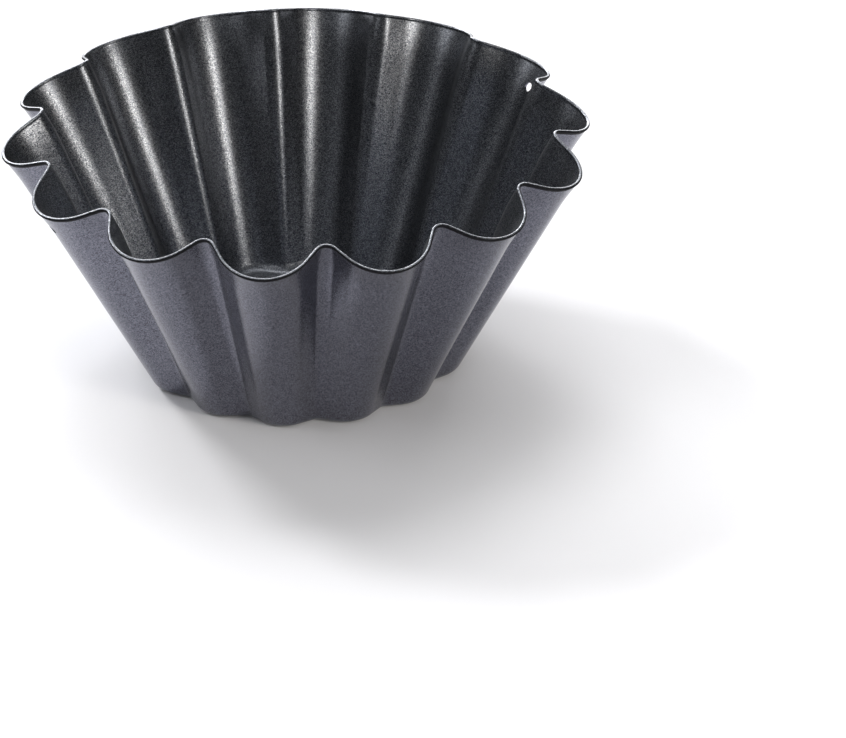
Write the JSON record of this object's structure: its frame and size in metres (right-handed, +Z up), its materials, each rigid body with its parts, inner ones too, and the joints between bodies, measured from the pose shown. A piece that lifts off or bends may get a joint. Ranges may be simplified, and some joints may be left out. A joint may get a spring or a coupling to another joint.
{
  "type": "fluted cake pan",
  "caption": "Round fluted metal cake pan: one pressed sheet with a flared fluted wall, a wavy rounded rim, a flat scalloped base and two small holes under the rim.",
  "frame": {"origin": "on the surface that the pan stands on, under the centre of its flat base", "axes": "+Z up through the open mouth, +X through the middle of the flute crest that holds one of the two small holes; the other hole is in the crest on -X"},
  "size_m": [0.2204, 0.2158, 0.0962],
  "materials": {
    "dark_non_stick_steel": "dark charcoal satin non-stick coat on pressed steel, fine sparkle"
  },
  "bodies": {
    "root": {"fluted_shell": "dark_non_stick_steel"}
  },
  "joints": []
}
